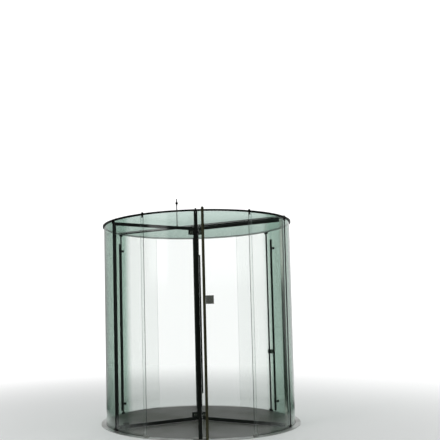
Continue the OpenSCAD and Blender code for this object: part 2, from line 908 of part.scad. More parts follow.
floor_ring();
floor_mat();
floor_pivot();
left_wall_front();
left_wall_middle();
left_wall_back();
right_wall_front();
right_wall_middle();
right_wall_back();
front_left_joint();
back_left_joint();
front_right_joint();
back_right_joint();
top_ring();
ceiling_front();
ceiling_back();
ceiling_joint_bar();
top_bearing();
hanger_rod();
control_box();
centre_shaft();
top_hub();
bottom_hub();
left_wing_glass();
right_wing_glass();
back_wing_glass();
left_wing_top_rail();
right_wing_top_rail();
back_wing_top_rail();
left_wing_bottom_rail();
right_wing_bottom_rail();
back_wing_bottom_rail();
left_wing_stile();
right_wing_stile();
back_wing_stile();
left_wing_brushes();
right_wing_brushes();
back_wing_brushes();
left_push_bar();
right_push_bar();
back_push_bar();
floor_bolt();
left_leaf_glass();
left_leaf_stile();
left_leaf_hangers();
left_leaf_shoes();
right_leaf_glass();
right_leaf_post();
right_leaf_lock();
right_leaf_hanger();
right_leaf_shoes();
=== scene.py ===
import math
import random

import bmesh
import bpy
from mathutils import Matrix, Vector


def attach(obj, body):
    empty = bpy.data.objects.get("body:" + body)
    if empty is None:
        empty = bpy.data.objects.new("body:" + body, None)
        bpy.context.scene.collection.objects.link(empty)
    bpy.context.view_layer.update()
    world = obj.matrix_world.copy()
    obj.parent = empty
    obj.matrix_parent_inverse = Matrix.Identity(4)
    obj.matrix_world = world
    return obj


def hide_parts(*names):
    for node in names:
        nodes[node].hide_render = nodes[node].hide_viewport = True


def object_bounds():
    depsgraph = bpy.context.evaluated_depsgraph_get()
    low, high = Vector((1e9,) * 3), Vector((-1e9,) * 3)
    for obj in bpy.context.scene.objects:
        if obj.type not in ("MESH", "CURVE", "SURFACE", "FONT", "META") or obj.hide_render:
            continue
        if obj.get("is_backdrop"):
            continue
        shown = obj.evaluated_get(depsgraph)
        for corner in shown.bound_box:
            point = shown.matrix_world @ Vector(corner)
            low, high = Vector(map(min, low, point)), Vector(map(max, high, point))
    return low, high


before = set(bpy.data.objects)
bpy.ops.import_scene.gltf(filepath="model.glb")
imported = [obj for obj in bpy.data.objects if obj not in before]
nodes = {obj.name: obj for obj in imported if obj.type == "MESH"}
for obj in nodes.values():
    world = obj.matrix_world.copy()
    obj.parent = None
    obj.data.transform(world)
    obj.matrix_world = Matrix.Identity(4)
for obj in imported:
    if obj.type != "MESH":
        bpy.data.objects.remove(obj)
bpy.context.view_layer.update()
scene = bpy.context.scene


# Camera at the photograph's place: at eye height, 9.6 m from the door's axis.
# It is tipped up a little and leans by a degree, and the door stands left of the middle.
eye = Vector((0.003, -9.589, 1.689))
turned_left, tipped_up, leaning = 3.15, 3.27, -1.10
camera_data = bpy.data.cameras.new("camera")
camera_data.sensor_width = 36
camera_data.lens = 48.02
camera_data.shift_x = 0.125
camera_data.shift_y = 0.1425
camera_data.clip_end = 200
camera = bpy.data.objects.new("camera", camera_data)
scene.collection.objects.link(camera)
camera.matrix_world = (
    Matrix.Translation(eye)
    @ Matrix.Rotation(math.radians(turned_left), 4, "Z")
    @ Matrix.Rotation(math.radians(90 + tipped_up), 4, "X")
    @ Matrix.Rotation(math.radians(leaning), 4, "Z")
)
scene.camera = camera
scene.view_settings.view_transform = "Standard"


# Studio: even white light from all round, two soft lamps and a plain pale floor.
# Gloss sees a bright side beyond, above and to the right of the door, and a dim room near it.
# The floor keeps the door's shadow and runs out to white further off.
class Wire:
    """A shader socket. Operators on it add Math nodes, and node() adds any other node."""

    def __init__(self, tree, socket=None):
        self.tree = tree
        self.socket = socket

    def node(self, kind, settings, sockets, output=0):
        """One output of a new node, once its settings and then its sockets are set."""
        made = self.tree.nodes.new("ShaderNode" + kind)
        for name, value in settings.items():
            setattr(made, name, value)
        for name, value in sockets.items():
            if isinstance(value, Wire):
                self.tree.links.new(value.socket, made.inputs[name])
            else:
                made.inputs[name].default_value = value
        return Wire(self.tree, made.outputs[output])

    def math(self, operation, *values):
        return self.node("Math", {"operation": operation}, dict(enumerate(values)))

    def __add__(self, other):
        return self.math("ADD", self, other)

    def __radd__(self, other):
        return self.math("ADD", other, self)

    def __sub__(self, other):
        return self.math("SUBTRACT", self, other)

    def __rsub__(self, other):
        return self.math("SUBTRACT", other, self)

    def __mul__(self, other):
        return self.math("MULTIPLY", self, other)

    def __rmul__(self, other):
        return self.math("MULTIPLY", other, self)

    def blend(self, factor, low, high):
        """A colour between two others, by a factor from 0 to 1."""
        return self.node("Mix", {"data_type": "RGBA"}, {0: factor, 6: low, 7: high}, output=2)

    def ramp(self, value, low, high):
        """0 below low, 1 above high and smooth between them."""
        settings = {"interpolation_type": "SMOOTHSTEP"}
        return self.node("MapRange", settings, {"Value": value, "From Min": low, "From Max": high})

    def place(self, stretch=(1, 1, 1)):
        """The point on the door, in metres, stretched along each axis."""
        point = self.node("TexCoord", {}, {}, output="Object")
        return self.node("VectorMath", {"operation": "MULTIPLY"}, {0: point, 1: stretch})

    def noise(self, scale, detail=3.0, stretch=(1, 1, 1)):
        sockets = {"Vector": self.place(stretch), "Scale": scale, "Detail": detail}
        return self.node("TexNoise", {}, sockets)

    def height(self):
        """The point's height over the floor, in metres."""
        return self.node("SeparateXYZ", {}, {0: self.place()}, output="Z")

    def from_axis(self):
        """How far the point is from the door's axis, in metres."""
        flat = self.place((1, 1, 0))
        return self.node("VectorMath", {"operation": "LENGTH"}, {0: flat}, output="Value")

    def facing(self):
        """0 where a surface is seen straight on and 1 where it is seen edge on."""
        return self.node("LayerWeight", {}, {"Blend": 0.5}, output="Facing")

    def bump(self, relief, strength, distance):
        """A Normal that follows a relief, whose full depth is the distance in metres."""
        return self.node("Bump", {}, {"Strength": strength, "Distance": distance, "Height": relief})


def backdrop(wire, direction):
    """Whether a ray is one that shows the backdrop, whether it was mirrored, and its colour:
    a bright overcast sky straight on or through glass, and in a mirror a room that is dim on
    the near side."""
    rays = [wire.node("LightPath", {}, {}, output="Is %s Ray" % kind)
            for kind in ("Camera", "Glossy", "Transmission")]
    seen = wire.math("MINIMUM", rays[0] + rays[1] + rays[2], 1)
    mirrored = wire.math("MINIMUM", wire.node("LightPath", {}, {}, output="Glossy Depth"), 1)
    x, y, z = (wire.node("SeparateXYZ", {}, {0: direction}, output=axis) for axis in "XYZ")
    open_side = 0.5 * wire.ramp(z, 0.0, 0.45) + 0.38 * wire.ramp(x, 0.14, 0.30)
    beyond = wire.ramp(y, 0.40, 0.85) * (0.34 + open_side)
    above = wire.ramp(z, 0.35, 0.85) * 0.85
    at_left, in_front = wire.ramp(-1 * x, 0.50, 0.60), 1 - wire.ramp(y, -0.60, -0.48)
    window = at_left * in_front * wire.ramp(z, 0.03, 0.09)
    bright = wire.math("MAXIMUM", wire.math("MAXIMUM", beyond, above), window)
    dim_room, lit_room, overcast = (0.045, 0.055, 0.05, 1), (1, 1, 1, 1), (1.18, 1.18, 1.18, 1)
    room = wire.blend(bright, dim_room, lit_room)
    return seen, mirrored, wire.blend(mirrored, overcast, room)


world = bpy.data.worlds.new("studio")
world.use_nodes = True
world.node_tree.nodes.clear()
air = Wire(world.node_tree)
seen, mirrored, shown = backdrop(air, air.node("TexCoord", {}, {}, output="Generated"))
soft_light = air.node("Background", {}, {"Color": (0.98, 0.99, 1, 1), "Strength": 0.72})
white_backdrop = air.node("Background", {}, {"Color": shown, "Strength": 1})
sky = air.node("MixShader", {}, {0: seen, 1: soft_light, 2: white_backdrop})
world_output = world.node_tree.nodes.new("ShaderNodeOutputWorld")
world.node_tree.links.new(sky.socket, world_output.inputs["Surface"])
scene.world = world

lamps = {"key_lamp": ((-5.5, -6.5, 6.5), 200), "back_lamp": ((5.0, 6.0, 6.0), 160)}
lamp_aim = Vector((0, 0, 1.5))
for lamp_name, (lamp_at, lamp_power) in lamps.items():
    lamp_data = bpy.data.lights.new(lamp_name, "AREA")
    lamp_data.shape = "RECTANGLE"
    lamp_data.size, lamp_data.size_y = 3.0, 4.0
    lamp_data.energy = lamp_power
    lamp = bpy.data.objects.new(lamp_name, lamp_data)
    lamp.location = lamp_at
    lamp.rotation_mode = "QUATERNION"
    lamp.rotation_quaternion = (lamp_aim - Vector(lamp_at)).to_track_quat("-Z", "Y")
    lamp.visible_glossy = False
    lamp.visible_transmission = False
    scene.collection.objects.link(lamp)


def new_finish(name):
    """An empty material and the wire that fills it."""
    material = bpy.data.materials.new(name)
    material.use_nodes = True
    material.node_tree.nodes.clear()
    return material, Wire(material.node_tree)


def put_out(wire, surface, volume=None):
    """Joins the last shader to the material's output."""
    output = wire.tree.nodes.new("ShaderNodeOutputMaterial")
    wire.tree.links.new(surface.socket, output.inputs["Surface"])
    if volume:
        wire.tree.links.new(volume.socket, output.inputs["Volume"])


studio_floor, wire = new_finish("studio_floor")
bearing = wire.node("VectorMath", {"operation": "NORMALIZE"}, {0: wire.place((1, 1, 0))})
seen, mirrored, shown = backdrop(wire, bearing)
far_off, just_outside = wire.ramp(wire.from_axis(), 2.2, 11.0), wire.ramp(wire.from_axis(), 1.7, 2.7)
fade = wire.math("MAXIMUM", far_off, just_outside * mirrored)
paint = wire.node("BsdfPrincipled", {}, {"Base Color": (0.74, 0.75, 0.74, 1), "Roughness": 0.6})
glow = wire.node("Emission", {}, {"Color": shown, "Strength": 1})
put_out(wire, wire.node("MixShader", {}, {0: fade * seen, 1: paint, 2: glow}))

floor_reach, floor_sides = 60, 64
floor_points = []
for i in range(floor_sides):
    angle = 2 * math.pi * i / floor_sides
    floor_points.append((floor_reach * math.cos(angle), floor_reach * math.sin(angle), 0))
floor_mesh = bpy.data.meshes.new("studio_floor")
floor_mesh.from_pydata(floor_points, [], [range(floor_sides)])
floor_mesh.materials.append(studio_floor)
floor = bpy.data.objects.new("studio_floor", floor_mesh)
scene.collection.objects.link(floor)
floor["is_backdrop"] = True


# Floor ring: a flat stainless ring on the floor, with a groove that the walls stand in.
# It is rolled, brushed along its length and screwed down with twelve button-head screws.
mm = 0.001
floor_top = 10 * mm
anchor_at, anchor_count = 1558 * mm, 12


def loft(bm, rows):
    """Skins closed rows of points in turn, with a cap at both ends."""
    for here, there in zip(rows, rows[1:]):
        for j in range(len(here)):
            k = (j + 1) % len(here)
            bm.faces.new((here[j], here[k], there[k], there[j]))
    bm.faces.new(rows[0][::-1])
    bm.faces.new(rows[-1])


def turned(bm, profile, place, sides=24):
    """A turned part: (radius, height) points along its own Z, put in place by a matrix."""
    rows = []
    for radius, height in profile:
        row = []
        for i in range(sides):
            angle = 2 * math.pi * i / sides
            point = Vector((radius * math.cos(angle), radius * math.sin(angle), height))
            row.append(bm.verts.new(place @ point))
        rows.append(row)
    loft(bm, rows)


def turn_to(angle):
    """Turns about the door's axis."""
    return Matrix.Rotation(math.radians(angle), 4, "Z")


def piece(name, bm, material, body, stands_for=()):
    """Makes a bmesh into a piece that rides on a body and takes a finish."""
    bmesh.ops.recalc_face_normals(bm, faces=bm.faces)
    mesh = bpy.data.meshes.new(name)
    bm.to_mesh(mesh)
    bm.free()
    mesh.polygons.foreach_set("use_smooth", [True] * len(mesh.polygons))
    mesh.set_sharp_from_angle(angle=math.radians(32))
    mesh.materials.append(material)
    made = bpy.data.objects.new(name, mesh)
    scene.collection.objects.link(made)
    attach(made, body)
    if stands_for:
        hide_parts(*stands_for)


def dress(names, material, soft_edge=None):
    """Gives CAD nodes their finish, and rounds their edges where a radius is given."""
    for name in names:
        node = nodes[name]
        node.data.materials.clear()
        node.data.materials.append(material)
        if soft_edge:
            weld = node.modifiers.new("weld", "WELD")
            weld.merge_threshold = 0.01 * mm
            rounding = node.modifiers.new("rounding", "BEVEL")
            rounding.width = soft_edge
            rounding.segments = 2
            rounding.limit_method = "ANGLE"
            rounding.angle_limit = math.radians(40)


def button_screw(bm, place, size):
    """A button-head screw of that head diameter, with its socket."""
    half = size / 2
    profile = [(half, 0), (half, 0.1 * size), (0.86 * half, 0.2 * size), (0.6 * half, 0.25 * size),
               (0.34 * half, 0.25 * size), (0.3 * half, 0.08 * size)]
    turned(bm, profile, place, sides=12)


ring_steel, wire = new_finish("floor_ring_steel")
brushing = wire.node("CombineXYZ", {}, {"X": wire.from_axis() * 900, "Y": wire.noise(0.8) * 4, "Z": 0.0})
lines = wire.node("TexNoise", {}, {"Vector": brushing, "Scale": 1.0, "Detail": 2.0})
worn = wire.ramp(wire.noise(2.2, 5.0), 0.46, 0.62)
tone = wire.blend(lines, (0.44, 0.45, 0.44, 1), (0.62, 0.63, 0.62, 1))
tone = wire.blend(worn * 0.5, tone, (0.34, 0.34, 0.32, 1))
put_out(wire, wire.node("BsdfPrincipled", {}, {
    "Base Color": tone, "Metallic": 1.0, "Roughness": 0.26 + lines * 0.14 + worn * 0.14,
    "Normal": wire.bump(lines, 0.15, 0.0003)}))
dress(["floor_ring"], ring_steel, 0.8 * mm)

fixing_steel, wire = new_finish("fixing_steel")
grain = wire.noise(1.0, 2.0, (260, 260, 260))
cloud = wire.noise(3.0)
tone = wire.blend(grain * 0.5 + cloud * 0.5, (0.464, 0.464, 0.448, 1), (0.6496, 0.6496, 0.6272, 1))
put_out(wire, wire.node("BsdfPrincipled", {}, {
    "Base Color": tone, "Metallic": 1.0, "Roughness": 0.22 + grain * 0.16 + cloud * 0.1,
    "Normal": wire.bump(grain, 0.12, 0.0003)}))
washer, washer_t = [(10 * mm, 0), (10 * mm, 0.6 * mm), (9.4 * mm, 1 * mm)], 1 * mm
bm = bmesh.new()
for i in range(anchor_count):
    at = turn_to((i + 0.5) * 360 / anchor_count) @ Matrix.Translation((anchor_at, 0, floor_top))
    turned(bm, washer, at)
    button_screw(bm, at @ Matrix.Translation((0, 0, washer_t)), 14 * mm)
piece("floor_ring_screws", bm, fixing_steel, "drum")


# Mat: dark ribbed rubber matting cut round, its ribs across the way that people walk.
# It lies loose inside the floor ring, level with the ring's top.
mat_edge = 1477.7 * mm
rib_pitch, rib_w, rib_foot = 30 * mm, 24 * mm, 5.5 * mm
rib_short, rib_least = 0.5 * mm, 20 * mm

mat_rubber, wire = new_finish("mat_rubber")
# painted shade: the mat's colour darkens down in the grooves between its ribs.
groove = 1 - wire.ramp(wire.height(), rib_foot, floor_top)
dust = wire.ramp(wire.noise(1.3, 6.0), 0.42, 0.66)
grain = wire.noise(240, 2.0)
tone = wire.blend(dust, (0.050, 0.050, 0.041, 1), (0.086, 0.086, 0.070, 1))
tone = wire.blend(grain * 0.5, tone, (0.036, 0.036, 0.030, 1))
tone = wire.blend(groove * 0.8, tone, (0.028, 0.028, 0.026, 1))
put_out(wire, wire.node("BsdfPrincipled", {}, {
    "Base Color": tone, "Roughness": 0.34 + dust * 0.2 + grain * 0.1, "Specular IOR Level": 0.9,
    "Normal": wire.bump(grain, 0.3, 0.0006)}))

bm = bmesh.new()
turned(bm, [(mat_edge - 1 * mm, 0), (mat_edge, 1 * mm), (mat_edge, rib_foot)], Matrix(), sides=180)
rib_count = int(mat_edge / rib_pitch)
rib_half, rib_soft, rib_sunk = rib_w / 2, 1.2 * mm, rib_foot - 1 * mm
section = [(-rib_half, rib_sunk), (-rib_half, floor_top - rib_soft), (-rib_half + rib_soft, floor_top),
           (rib_half - rib_soft, floor_top), (rib_half, floor_top - rib_soft), (rib_half, rib_sunk)]
for i in range(-rib_count, rib_count + 1):
    middle = i * rib_pitch
    rows = []
    for side in (-1, 1):
        row = []
        for across, up in section:
            y = middle + across
            reach = math.sqrt(max((mat_edge - rib_short) ** 2 - y * y, rib_least ** 2))
            row.append(bm.verts.new((side * reach, y, up)))
        rows.append(row)
    loft(bm, rows)
piece("ribbed_mat", bm, mat_rubber, "drum", ["floor_mat"])


# Floor pivot: a turned stainless plate, collar and pin that the shaft stands on.
# Four screws hold the plate through the mat.
dress(["floor_pivot"], fixing_steel, 0.6 * mm)
pivot_screw_r, pivot_top = 58 * mm, 14 * mm
bm = bmesh.new()
for angle in (45, 135, 225, 315):
    button_screw(bm, turn_to(angle) @ Matrix.Translation((pivot_screw_r, 0, pivot_top)), 9 * mm)
piece("pivot_screws", bm, fixing_steel, "drum")


# Curved walls: three panes a side of 12 mm bent float glass with ground edges.
# They stand in the floor ring's groove and reach into the top ring's.
wall_in, wall_out = 1488 * mm, 1500 * mm
wall_mid = (wall_in + wall_out) / 2
wall_low, wall_high = 5 * mm, 3143.7 * mm
ground_edge = 1 * mm


def arc(length, radius):
    """Degrees that a length takes along an arc."""
    return math.degrees(length / radius)


def clear_glass(name, through, thickness, smudge, slant_shade, veil=0.0):
    """Clear float glass. through is the light that passes that thickness of it, and smudge the
    roughness of its marks. The colour given after smudge is painted shade: it darkens the glass
    where a pane is seen at a slant. veil is the share of light that runs straight on through a
    layer of dust, which is a little glossy where it is seen at a graze and there painted darker as
    shade."""
    material, wire = new_finish(name)
    loss = [-math.log(c) / thickness for c in through]
    density = max(loss) * 1.2
    body_colour = [1 - c / density for c in loss] + [1]
    marks = wire.ramp(wire.noise(1.7, 6.0), 0.45, 0.75)
    # painted shade: the glass's base colour darkens where a pane is seen at a slant, towards the colour
    # given after smudge.
    slant = wire.ramp(wire.facing(), 0.30, 0.40)
    painted_slant_tint = wire.blend(slant, (1, 1, 1, 1), [c * c for c in slant_shade] + [1])
    glass = wire.node("BsdfPrincipled", {}, {
        "Base Color": painted_slant_tint, "Roughness": marks * smudge, "IOR": 1.5,
        "Transmission Weight": 1.0, "Specular IOR Level": 0.16})
    clear = wire.node("BsdfTransparent", {}, {"Color": (0.955, 0.965, 0.96, 1)})
    if veil:
        # painted shade: the dust layer's straight share is darker where it is seen at a graze.
        grazed = wire.ramp(wire.facing(), 0.81, 0.88)
        pale = wire.node("BsdfTransparent", {}, {"Color": (0.955, 0.965, 0.96, 1)})
        dim = wire.node("BsdfTransparent", {}, {"Color": (0.76, 0.80, 0.775, 1)})
        dust_and_graze_shade = wire.node("MixShader", {}, {0: grazed, 1: pale, 2: dim})
        glass = wire.node("MixShader", {}, {0: veil - grazed * 0.16, 1: glass, 2: dust_and_graze_shade})
    diffuse_ray = wire.node("LightPath", {}, {}, output="Is Diffuse Ray")
    shadow_ray = wire.node("LightPath", {}, {}, output="Is Shadow Ray")
    inner = wire.node("MixShader", {}, {0: diffuse_ray, 1: glass, 2: clear})
    both = wire.node("MixShader", {}, {0: shadow_ray, 1: inner, 2: clear})
    tint = wire.node("VolumeAbsorption", {}, {"Color": body_colour, "Density": density})
    put_out(wire, both, tint)
    return material


def panel(low_r, high_r, low_z, high_z, edge):
    """The section of a bent pane with ground corners."""
    return [(low_r + edge, low_z), (high_r - edge, low_z),
            (high_r, low_z + edge), (high_r, high_z - edge),
            (high_r - edge, high_z), (low_r + edge, high_z),
            (low_r, high_z - edge), (low_r, low_z + edge)]


def bend(bm, sections):
    """Bends sections round the door's axis: a list of (angle, points as (radius, height))."""
    rows = []
    for angle, section in sections:
        turn = turn_to(angle)
        rows.append([bm.verts.new(turn @ Vector((radius, 0, z))) for radius, z in section])
    loft(bm, rows)


def bent_pane(bm, low_r, high_r, low_z, high_z, start, end):
    """A bent pane with ground edges all round, in steps of about one degree."""
    inset = arc(ground_edge, high_r)
    whole = panel(low_r, high_r, low_z, high_z, ground_edge)
    small = panel(low_r + ground_edge, high_r - ground_edge,
                  low_z + ground_edge, high_z - ground_edge, ground_edge / 2)
    count = max(1, round(end - start))
    first, last = start + inset, end - inset
    sections = [(start, small)]
    sections += [(first + (last - first) * i / count, whole) for i in range(count + 1)]
    sections.append((end, small))
    bend(bm, sections)


pane_edge = arc(4 * mm, wall_mid)
joint_turn = 3.5
joint_angles = {"back_left_joint": 150 + joint_turn, "front_left_joint": 210 + joint_turn,
                "back_right_joint": 30 + joint_turn, "front_right_joint": 330 + joint_turn}
# Its last colour is painted shade for where the wall glass is seen at a slant.
wall_glass = clear_glass("wall_glass", (0.968, 0.982, 0.973), 12 * mm, 0.005, (0.625, 0.715, 0.67))
wall_panes = {
    "left_wall_back": (120, joint_angles["back_left_joint"]),
    "left_wall_middle": (joint_angles["back_left_joint"], joint_angles["front_left_joint"]),
    "left_wall_front": (joint_angles["front_left_joint"], 240),
    "right_wall_front": (300, joint_angles["front_right_joint"]),
    "right_wall_middle": (joint_angles["front_right_joint"] - 360, joint_angles["back_right_joint"]),
    "right_wall_back": (joint_angles["back_right_joint"], 60),
}
free_ends = (120, 240, 300, 60)
for name, (start, end) in wall_panes.items():
    bm = bmesh.new()
    start += 0 if start in free_ends else pane_edge
    end -= 0 if end in free_ends else pane_edge
    bent_pane(bm, wall_in, wall_out, wall_low, wall_high, start, end)
    piece(name + "_pane", bm, wall_glass, "drum", [name])


# Wall seals: black silicone along both sides of the glass, at the floor ring and the top ring.
# It is run on site and tooled to a small slope.
ring_low = 3140 * mm
clamp_half = arc(45 * mm, wall_mid)
bead_shape = ((0, 0), (4, 0), (3.4, 1.2), (1, 4), (0, 4.6))
bead_step, free_end_gap = 1.5, 0.05

sealant, wire = new_finish("black_sealant")
wavy = wire.noise(60, 3.0)
put_out(wire, wire.node("BsdfPrincipled", {}, {
    "Base Color": wire.blend(wavy, (0.010, 0.011, 0.010, 1), (0.026, 0.027, 0.025, 1)),
    "Roughness": 0.42 + wavy * 0.2,
    "Normal": wire.bump(wavy, 0.3, 0.0008)}))

bm = bmesh.new()
for start, end in wall_panes.values():
    begin = start + (free_end_gap if start in free_ends else clamp_half)
    stop = end - (free_end_gap if end in free_ends else clamp_half)
    count = max(1, round((stop - begin) / bead_step))
    for foot, up in ((floor_top, 1), (ring_low, -1)):
        for face, away in ((wall_out, 1), (wall_in, -1)):
            bead = [(face + away * out * mm, foot + up * rise * mm) for out, rise in bead_shape]
            bend(bm, [(begin + (stop - begin) * i / count, bead) for i in range(count + 1)])
piece("wall_seals", bm, sealant, "drum")


# Wall joints: upright black-coated profiles that hold the edges of two panes.
# A wider clamp at each end is screwed together through the glass joint.
black_coat, wire = new_finish("black_coat")
peel = wire.noise(320, 2.0)
cloud = wire.noise(2.6, 5.0)
scuffs = wire.ramp(wire.noise(38, 6.0, (1, 1, 0.35)), 0.60, 0.74)
kicked = 1 - wire.ramp(wire.height(), 0.05, 0.45)
tone = wire.blend(cloud, (0.0024, 0.0034, 0.0024, 1), (0.0050, 0.0066, 0.0046, 1))
tone = wire.blend(scuffs * (0.25 + kicked * 0.55), tone, (0.024, 0.026, 0.023, 1))
rough = 0.34 + cloud * 0.14 + scuffs * 0.14 + wire.ramp(wire.facing(), 0.55, 0.8) * 0.35
put_out(wire, wire.node("BsdfPrincipled", {}, {
    "Base Color": tone, "Roughness": rough, "Specular IOR Level": 0.14,
    "Normal": wire.bump(peel, 0.08, 0.0005)}))
dress(joint_angles, black_coat, 0.8 * mm)

clamp_in, clamp_out = 1485 * mm, 1503 * mm
clamp_screws_z, clamp_screw_aside = (27 * mm, 3123 * mm), arc(34 * mm, clamp_out)
joint_in, joint_out, joint_screw_pitch = 1485.8 * mm, 1502.2 * mm, 391 * mm


def outward(angle, radius, height, tipped=90):
    """A place on a drum of that radius, with its own Z pointing away from the axis."""
    at = turn_to(angle) @ Matrix.Translation((radius, 0, height))
    return at @ Matrix.Rotation(math.radians(tipped), 4, "Y")


def inward(angle, radius, height):
    """The same with its own Z pointing to the axis."""
    return outward(angle, radius, height, -90)


bm = bmesh.new()
for angle in joint_angles.values():
    for z in clamp_screws_z:
        for side in (-1, 1):
            beside = angle + side * clamp_screw_aside
            button_screw(bm, outward(beside, clamp_out, z), 6.5 * mm)
            button_screw(bm, inward(beside, clamp_in, z), 9 * mm)
    for i in range(1, 8):
        z = floor_top + i * joint_screw_pitch
        button_screw(bm, outward(angle, joint_out, z), 9 * mm)
        button_screw(bm, inward(angle, joint_in, z), 9 * mm)
piece("wall_joint_screws", bm, black_coat, "drum")


# Top ring: a rolled black steel ring on the walls, in three lengths.
# Splice plates with four screws each join the lengths on top.
ring_top = 3162 * mm
ring_coat, wire = new_finish("top_ring_coat")
# painted light: the ring's inner lip is painted pale grey-green, a glow that matches the ceiling glass
# beside it, and it is a little rougher.
painted_glow_lip = 1 - wire.ramp(wire.from_axis(), 1486 * mm, 1488 * mm)
cloud = wire.noise(2.6, 5.0)
peel = wire.noise(320, 2.0)
tone = wire.blend(cloud, (0.0024, 0.0034, 0.0024, 1), (0.0050, 0.0066, 0.0046, 1))
put_out(wire, wire.node("BsdfPrincipled", {}, {
    "Base Color": wire.blend(painted_glow_lip, tone, (0.50, 0.54, 0.52, 1)),
    "Roughness": 0.34 + cloud * 0.14 + painted_glow_lip * 0.2, "Specular IOR Level": 0.14,
    "Normal": wire.bump(peel, 0.08, 0.0005)}))
dress(["top_ring"], ring_coat, 0.8 * mm)
splice_half, splice_top = arc(45 * mm, wall_out), ring_top + 3 * mm
splice_in, splice_out = 1499 * mm, 1517 * mm
plate = panel(splice_in, splice_out, ring_top, splice_top, 0.6 * mm)
bm = bmesh.new()
for angle in (0, 90, 180):
    bend(bm, [(angle + splice_half * step, plate) for step in (-1, -0.5, 0, 0.5, 1)])
    for step in (-0.75, -0.3, 0.3, 0.75):
        at = turn_to(angle + splice_half * step)
        at = at @ Matrix.Translation(((splice_in + splice_out) / 2, 0, splice_top))
        button_screw(bm, at, 9 * mm)
piece("top_ring_splices", bm, black_coat, "drum")


# Ceiling: two half rounds of 14 mm laminated glass on the top ring's seat.
# A sealant bead closes the play round their edge.
# Its last colour is painted shade where the ceiling is seen at a slant, and its veil is painted darker
# where grazed.
ceiling_glass = clear_glass(
    "ceiling_glass", (0.918, 0.952, 0.94), 18 * mm, 0.0, (0.93, 0.955, 0.94), veil=0.86)
dress(["ceiling_front", "ceiling_back"], ceiling_glass)
bar_at = joint_angles["back_left_joint"]
bead = [(1490 * mm, ring_top), (1496 * mm, ring_top), (1495.5 * mm, ring_top + 1.2 * mm),
        (1493 * mm, ring_top + 1.8 * mm), (1490.5 * mm, ring_top + 1 * mm)]
bar_clear, bead_steps = arc(21 * mm, 1493 * mm), 90
bm = bmesh.new()
for start in (bar_at, bar_at + 180):
    begin, stop = start + bar_clear, start + 180 - bar_clear
    bend(bm, [(begin + (stop - begin) * i / bead_steps, bead) for i in range(bead_steps + 1)])
piece("ceiling_seal", bm, sealant, "drum")


# Ceiling joint bar: two black flats with a web between the panes, screwed together.
# It also carries the shaft's upper bearing and the hanger rod.
bar_top = 3178 * mm
bar_screws = [along * mm for along in (*range(-1410, 0, 240), *range(120, 1410, 240))]
bearing_reach, rod_at, rod_foot_half = 150 * mm, 349 * mm, 20 * mm
dress(["ceiling_joint_bar"], black_coat, 0.8 * mm)
dress(["top_bearing"], fixing_steel, 0.6 * mm)
upside_down = Matrix.Rotation(math.pi, 4, "X")
bm = bmesh.new()
for along in bar_screws:
    if abs(along - rod_at) < rod_foot_half:
        continue
    button_screw(bm, turn_to(bar_at) @ Matrix.Translation((along, 0, bar_top)), 14 * mm)
    if abs(along) > bearing_reach:
        under = turn_to(bar_at) @ Matrix.Translation((along, 0, ring_low)) @ upside_down
        button_screw(bm, under, 8 * mm)
piece("ceiling_bar_screws", bm, black_coat, "drum")


# Hanger rod: a round black rod from the joint bar to the building, with a ball coupling.
# Four screws hold its foot, and lock nuts sit over the foot and on both sides of the ball.
dress(["hanger_rod"], black_coat)
rod = turn_to(bar_at) @ Matrix.Translation((rod_at, 0, 0))
rod_foot = 3188 * mm
rod_nuts = ((3188, 3199, 27), (3541, 3553, 27), (3599, 3607, 24))
foot_screw, foot_screw_at = [(3 * mm, 0), (3 * mm, 1 * mm), (2 * mm, 1.8 * mm)], 15.5 * mm
bm = bmesh.new()
for low, high, across in rod_nuts:
    half = across / 2 * mm
    tall = (high - low) * mm
    hexagon = [(half * 0.92, 0), (half, 1 * mm), (half, tall - 1 * mm), (half * 0.92, tall)]
    turned(bm, hexagon, rod @ Matrix.Translation((0, 0, low * mm)), sides=6)
for angle in (45, 135, 225, 315):
    at = rod @ turn_to(angle) @ Matrix.Translation((foot_screw_at, 0, rod_foot))
    turned(bm, foot_screw, at, sides=12)
piece("hanger_rod_nuts", bm, black_coat, "drum")


# Control box: a grey moulded case on the back right wall joint, with two push buttons.
# A screwed face plate carries the buttons on the outside of the drum.
grey_case, wire = new_finish("grey_case")
grain = wire.noise(700, 2.0)
cloud = wire.noise(9, 4.0)
tone = wire.blend(cloud, (0.070, 0.075, 0.063, 1), (0.100, 0.104, 0.090, 1))
put_out(wire, wire.node("BsdfPrincipled", {}, {
    "Base Color": tone, "Roughness": 0.34 + cloud * 0.14,
    "Normal": wire.bump(grain, 0.18, 0.0004)}))
dress(["control_box"], grey_case, 2.5 * mm)

control_z, control_face = 1040 * mm, 1541 * mm
plate_half, plate_tall, plate_t = arc(41 * mm, control_face), 28 * mm, 2 * mm
plate_screws, button_aside = (arc(35 * mm, control_face), 22 * mm), arc(18 * mm, control_face)
button_red, wire = new_finish("button_red")
cloud = wire.noise(40, 3.0)
put_out(wire, wire.node("BsdfPrincipled", {}, {
    "Base Color": wire.blend(cloud, (0.30, 0.018, 0.012, 1), (0.36, 0.026, 0.018, 1)),
    "Roughness": 0.25 + cloud * 0.1}))
box_at = joint_angles["back_right_joint"]
plate_face, button_lift = control_face + plate_t, 1.2 * mm
collar = [(13 * mm, 0), (13 * mm, 1.5 * mm), (12 * mm, 2.5 * mm), (10.6 * mm, 2.5 * mm),
          (10.6 * mm, button_lift)]
button = [(10.2 * mm, 0), (10.2 * mm, 3 * mm), (9.4 * mm, 4.2 * mm), (6 * mm, 4.6 * mm)]
bm = bmesh.new()
plate = panel(control_face, plate_face, control_z - plate_tall, control_z + plate_tall, 0.7 * mm)
bend(bm, [(box_at + plate_half * step, plate) for step in (-1, -0.5, 0, 0.5, 1)])
